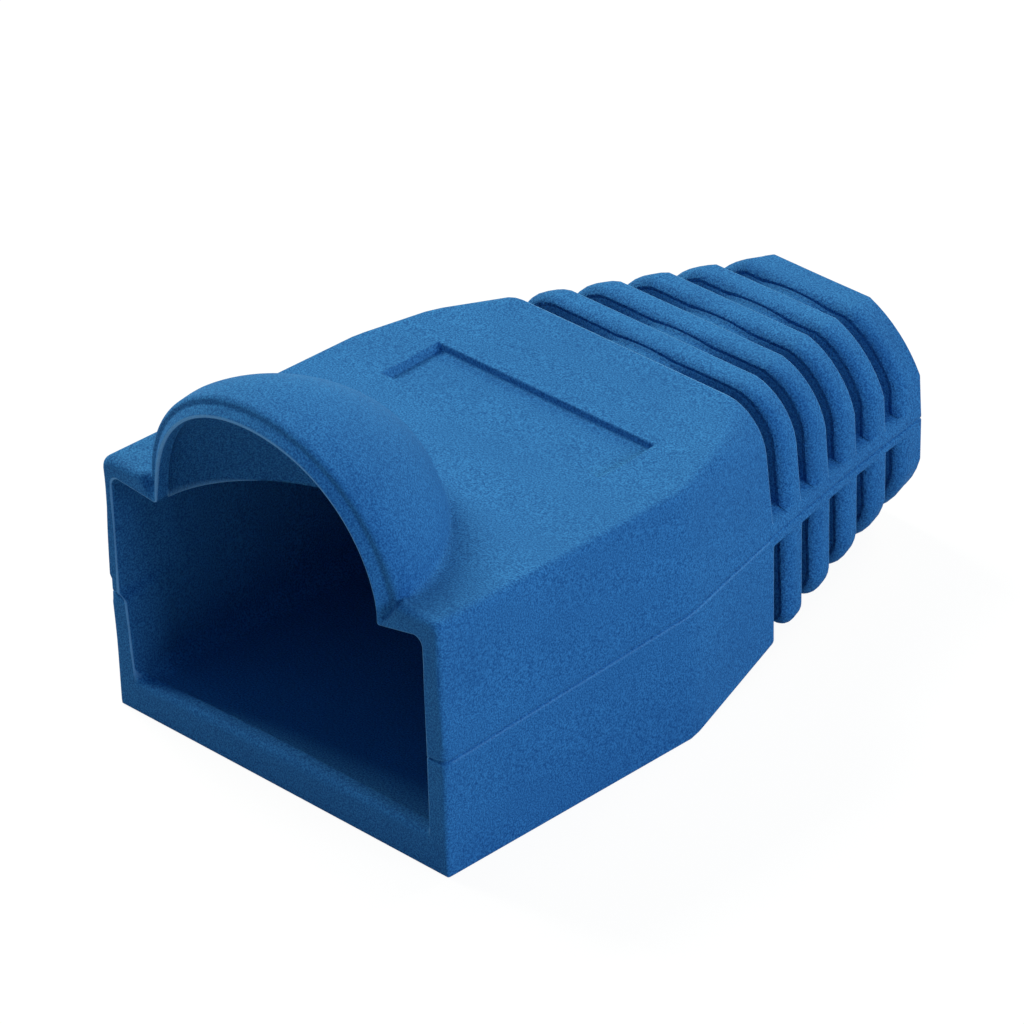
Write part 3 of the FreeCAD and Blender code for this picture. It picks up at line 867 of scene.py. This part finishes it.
def add_node(tree, kind, links=(), **settings):
    """Add a shader node, set its properties and inputs, and link (input, output) pairs."""
    node = tree.nodes.new("ShaderNode" + kind)
    for key, value in settings.items():
        if hasattr(node, key):
            setattr(node, key, value)
        else:
            node.inputs[key.replace("_", " ")].default_value = value
    for name, source in links:
        tree.links.new(source, node.inputs[name])
    return node


def noise(tree, place, size, detail, roughness):
    """Noise with grains of a real size."""
    return add_node(tree, "TexNoise", [("Vector", place)], Scale=1.0 / size,
                    Detail=detail, Roughness=roughness).outputs["Fac"]


def combine(tree, operation, first, second):
    """Two values put together by a math node."""
    return add_node(tree, "Math", [(0, first), (1, second)], operation=operation).outputs[0]


def scaled(tree, value, factor):
    """A value times a constant."""
    node = add_node(tree, "Math", [(0, value)], operation="MULTIPLY")
    node.inputs[1].default_value = factor
    return node.outputs[0]


def tint(tree, factor, base, over):
    """A base colour with a plain colour laid over it by a factor."""
    return add_node(tree, "Mix", [("Factor", factor), ("A", base)], data_type="RGBA",
                    B=(*over, 1.0)).outputs["Result"]


def moulded_soft_pvc(finish):
    """Pigmented soft PVC from a spark-eroded mould: fully matt, with a fine grain.

    The grain is drawn coarser than its real size of 0.03 mm, so that it shows.  The mould was
    eroded more coarsely in the grooves and in the hood's hollow, where the attribute spark is 1.
    A lighter blue is painted along edges as a highlight, where the attribute edge is 1.
    The grain scatters nearly all of the sheen, so the eye sees flat blue with lighter specks.
    """
    material = bpy.data.materials.new("moulded soft PVC")
    material.use_nodes = True
    tree = material.node_tree
    shader = tree.nodes["Principled BSDF"]
    place = add_node(tree, "TexCoord").outputs["Object"]
    spark = add_node(tree, "Attribute", attribute_name="spark").outputs["Fac"]
    # The attribute edge marks where the painted highlight goes.
    edge = add_node(tree, "Attribute", attribute_name="edge").outputs["Fac"]
    grain = noise(tree, place, finish.grain_size, 1.0, 0.6)
    pits = noise(tree, place, finish.pit_size, 3.0, 0.65)
    cloud = noise(tree, place, finish.cloud_size, 2.0, 0.5)
    pit_share = combine(tree, "MULTIPLY", pits, spark)
    speck = add_node(tree, "MapRange", [("Value", grain)], From_Min=0.34, From_Max=0.66)
    tone = add_node(tree, "Mix", [("Factor", speck.outputs["Result"])], data_type="RGBA",
                    A=(*finish.dark, 1.0), B=(*finish.light, 1.0))
    drift = add_node(tree, "MapRange", [("Value", cloud)], From_Min=0.3, From_Max=0.7,
                     To_Max=finish.cloud_share)
    clouded = tint(tree, drift.outputs["Result"], tone.outputs["Result"], finish.dark)
    # Painted highlight: a lighter blue laid over the edges that the attribute edge marks.
    highlighted = tint(tree, scaled(tree, edge, finish.highlight_share), clouded, finish.edge_highlight)
    tree.links.new(highlighted, shader.inputs["Base Color"])
    fine = add_node(tree, "Bump", [("Height", grain)], Strength=1.0, Distance=finish.grain_depth)
    coarse = add_node(tree, "Bump", [("Height", pit_share), ("Normal", fine.outputs["Normal"])],
                      Strength=1.0, Distance=finish.pit_depth)
    tree.links.new(coarse.outputs["Normal"], shader.inputs["Normal"])
    shader.inputs["Roughness"].default_value = 0.8
    shader.inputs["IOR"].default_value = 1.53
    shader.inputs["Specular IOR Level"].default_value = 0.06
    return material


def studio_white(studio):
    """Matt white board: the eye sees pure white where it is lit, and the boot's soft shadow.

    For camera, glossy and transmission rays a white glow is mixed over the board's own paint.
    """
    material = bpy.data.materials.new("matt white board")
    material.use_nodes = True
    tree = material.node_tree
    paint = tree.nodes["Principled BSDF"]
    paint.inputs["Base Color"].default_value = (*hex_to_linear("#C6C6C4"), 1.0)
    paint.inputs["Roughness"].default_value = 0.9
    paint.inputs["Specular IOR Level"].default_value = 0.0
    glow = add_node(tree, "Emission", Strength=studio.glow).outputs["Emission"]
    share = scaled(tree, seen_rays(tree), studio.glow_share)
    mixed = add_node(tree, "MixShader", [(0, share), (1, paint.outputs["BSDF"]), (2, glow)])
    tree.links.new(mixed.outputs[0], tree.nodes["Material Output"].inputs["Surface"])
    return material


def seen_rays(tree):
    """1 for camera, glossy and transmission rays, and 0 for all others."""
    path = add_node(tree, "LightPath").outputs
    seen = combine(tree, "MAXIMUM", path["Is Camera Ray"], path["Is Glossy Ray"])
    return combine(tree, "MAXIMUM", seen, path["Is Transmission Ray"])


def studio_sky(studio):
    """A white world that lights the boot softly and is plain white behind the board's edge."""
    world = bpy.data.worlds.new("studio")
    world.use_nodes = True
    tree = world.node_tree
    background = tree.nodes["Background"]
    background.inputs["Color"].default_value = (*studio.fill_colour, 1.0)
    background.inputs["Strength"].default_value = studio.fill
    white = add_node(tree, "Background", Strength=1.0).outputs["Background"]
    mixed = add_node(tree, "MixShader", [
        (0, seen_rays(tree)), (1, background.outputs["Background"]), (2, white)])
    tree.links.new(mixed.outputs[0], tree.nodes["World Output"].inputs["Surface"])
    return world


class PvcFinish(bpy.types.PropertyGroup):
    """Colour and grain of the moulded soft PVC."""

    dark: colour("Dark grain", "Blue in the grain's hollows", "#1A508A")
    light: colour("Light grain", "Blue on the grain's tips", "#3880BD")
    # Lighter blue painted along edges as a highlight.
    edge_highlight: colour("Painted edge highlight", "Lighter blue painted along edges as a highlight", "#78B2E6")
    grain_size: length("Grain size", "Size of the fine grain", 0.05)
    grain_depth: length("Grain depth", "Depth of the fine grain", 0.008)
    pit_size: length("Pit size", "Size of the coarse pits in the grooves", 0.16)
    pit_depth: length("Pit depth", "Depth of the coarse pits in the grooves", 0.12)
    cloud_size: length("Cloud size", "Size of the faint clouds of colour", 2.5)
    cloud_share: ratio("Cloud share", "How far the clouds darken the colour", 0.22)
    # Share of the painted edge highlight over the base colour.
    highlight_share: ratio("Edge highlight share", "How far the painted edge highlight covers the colour", 0.6)


class StudioSettings(bpy.types.PropertyGroup):
    """Camera and light."""

    azimuth: ratio("Azimuth", "Degrees round from the mouth", 46.49)
    elevation: ratio("Elevation", "Degrees above the floor", 31.23)
    roll: ratio("Roll", "Degrees that the camera leans", -2.49)
    distance: length("Distance", "Distance of the camera", 220.0)
    lens: ratio("Lens", "Focal length in millimetres for a sensor 36 mm wide", 267.37)
    lamp_distance: length("Lamp distance", "Distance of the lamps", 350.0)
    lamp_size: length("Lamp size", "Width of each lamp's soft box", 150.0)
    key_power: ratio("Key power", "Power of the key lamp in watts", 1.3)
    key_colour: colour("Key colour", "Colour of the key lamp", "#FFF8E2")
    rear_power: ratio("Rear power", "Power of the rear lamp in watts", 0.62)
    rear_colour: colour("Rear colour", "Colour of the rear lamp", "#FFEFC4")
    side_power: ratio("Side power", "Power of the side lamp in watts", 0.68)
    side_colour: colour("Side colour", "Colour of the side lamp", "#E2ECFF")
    fill: ratio("Fill", "Strength of the studio's soft light from all sides", 0.26)
    fill_colour: colour("Fill colour", "Colour of the soft light", "#94D2FF")
    glow: ratio("Glow", "Strength of the white that the eye sees on the board", 1.1)
    glow_share: ratio("Glow share", "How far that white covers the board's paint", 0.85)


def look_from(azimuth, elevation, roll):
    """Axes right, up and back of a camera or lamp that looks from angles in degrees."""
    a, e, r = (math.radians(value) for value in (azimuth, elevation, roll))
    back = Vector((math.sin(a) * math.cos(e), -math.cos(a) * math.cos(e), math.sin(e)))
    right = Vector((math.cos(a), math.sin(a), 0.0))
    up = back.cross(right)
    level_right = math.cos(r) * right + math.sin(r) * up
    level_up = math.cos(r) * up - math.sin(r) * right
    return level_right, level_up, back


def stand(name, data, axes, target, distance):
    """Stand a camera or lamp at its distance from the target, looking at it."""
    right, up, back = axes
    place = target + back * distance
    item = bpy.data.objects.new(name, data)
    item.matrix_world = Matrix((
        (right.x, up.x, back.x, place.x), (right.y, up.y, back.y, place.y),
        (right.z, up.z, back.z, place.z), (0, 0, 0, 1)))
    bpy.context.scene.collection.objects.link(item)
    return item


class BOOT_OT_moulding(bpy.types.Operator):
    """Build the boot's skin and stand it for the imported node"""

    bl_idname = "boot.moulding"
    bl_label = "Boot"

    def execute(self, context):
        scene = context.scene
        hood, mouth, tail = (
            in_millimetres(group) for group in (scene.boot_hood, scene.boot_mouth, scene.boot_tail))
        skin = boot_skin(hood, mouth, tail)
        skin[..., :3] = (skin[..., :3] + [0.0, FRAME_SHIFT, 0.0]) * MM
        mesh = grid_mesh("moulded_boot", skin)
        piece = bpy.data.objects.new("moulded_boot", mesh)
        scene.collection.objects.link(piece)
        mesh.materials.append(moulded_soft_pvc(scene.boot_finish))
        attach(piece, BODY)
        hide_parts(NODE)
        return {"FINISHED"}


class BOOT_OT_stage(bpy.types.Operator):
    """Set up the white floor, the lamps and the camera"""

    bl_idname = "boot.stage"
    bl_label = "Stage"

    def execute(self, context):
        scene = context.scene
        studio = scene.boot_studio
        floor_mesh = bpy.data.meshes.new("floor")
        corners = [(x * FLOOR_HALF, y * FLOOR_HALF, FLOOR)
                   for x, y in ((-1, -1), (1, -1), (1, 1), (-1, 1))]
        floor_mesh.from_pydata(corners, [], [(0, 1, 2, 3)])
        floor_mesh.materials.append(studio_white(studio))
        floor = bpy.data.objects.new("floor", floor_mesh)
        scene.collection.objects.link(floor)
        scene.world = studio_sky(studio)
        across, along, up = TARGET
        target = Vector((across, along + FRAME_SHIFT, up)) * MM
        for name, (azimuth, elevation) in LAMP_ANGLES.items():
            lamp = bpy.data.lights.new(name + "_lamp", "AREA")
            lamp.shape = "SQUARE"
            lamp.size = studio.lamp_size
            lamp.energy = getattr(studio, name + "_power")
            lamp.color = getattr(studio, name + "_colour")
            axes = look_from(azimuth, elevation, 0.0)
            stand(lamp.name, lamp, axes, target, studio.lamp_distance)
        camera_data = bpy.data.cameras.new("camera")
        camera_data.lens = studio.lens
        camera_data.sensor_width = 36.0
        camera_data.clip_start = 0.01
        axes = look_from(studio.azimuth, studio.elevation, studio.roll)
        scene.camera = stand("camera", camera_data, axes, target, studio.distance)
        scene.view_settings.view_transform = "Standard"
        return {"FINISHED"}


class BOOT_PT_panel(bpy.types.Panel):
    """Lists the boot's operators"""

    bl_idname = "BOOT_PT_panel"
    bl_label = "Strain relief boot"
    bl_space_type = "VIEW_3D"
    bl_region_type = "UI"
    bl_category = "Boot"

    def draw(self, context):
        """List one button per operator."""
        for operator in OPERATORS:
            self.layout.operator(operator.bl_idname)


OPERATORS = (BOOT_OT_moulding, BOOT_OT_stage)
GROUPS = {"boot_hood": HoodSizes, "boot_mouth": MouthSizes, "boot_tail": TailSizes,
          "boot_finish": PvcFinish, "boot_studio": StudioSettings}


def register():
    """Register the classes and hang the property groups on the scene."""
    for item in (*GROUPS.values(), *OPERATORS, BOOT_PT_panel):
        bpy.utils.register_class(item)
    for name, group in GROUPS.items():
        setattr(bpy.types.Scene, name, bpy.props.PointerProperty(type=group))


def unregister():
    """Take the property groups and the classes away again."""
    for name in GROUPS:
        delattr(bpy.types.Scene, name)
    for item in (BOOT_PT_panel, *reversed(OPERATORS), *reversed(tuple(GROUPS.values()))):
        bpy.utils.unregister_class(item)


def main():
    """Build the boot and its stage."""
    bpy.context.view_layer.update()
    register()
    bpy.ops.boot.moulding()
    bpy.ops.boot.stage()


if __name__ == "__main__":
    main()
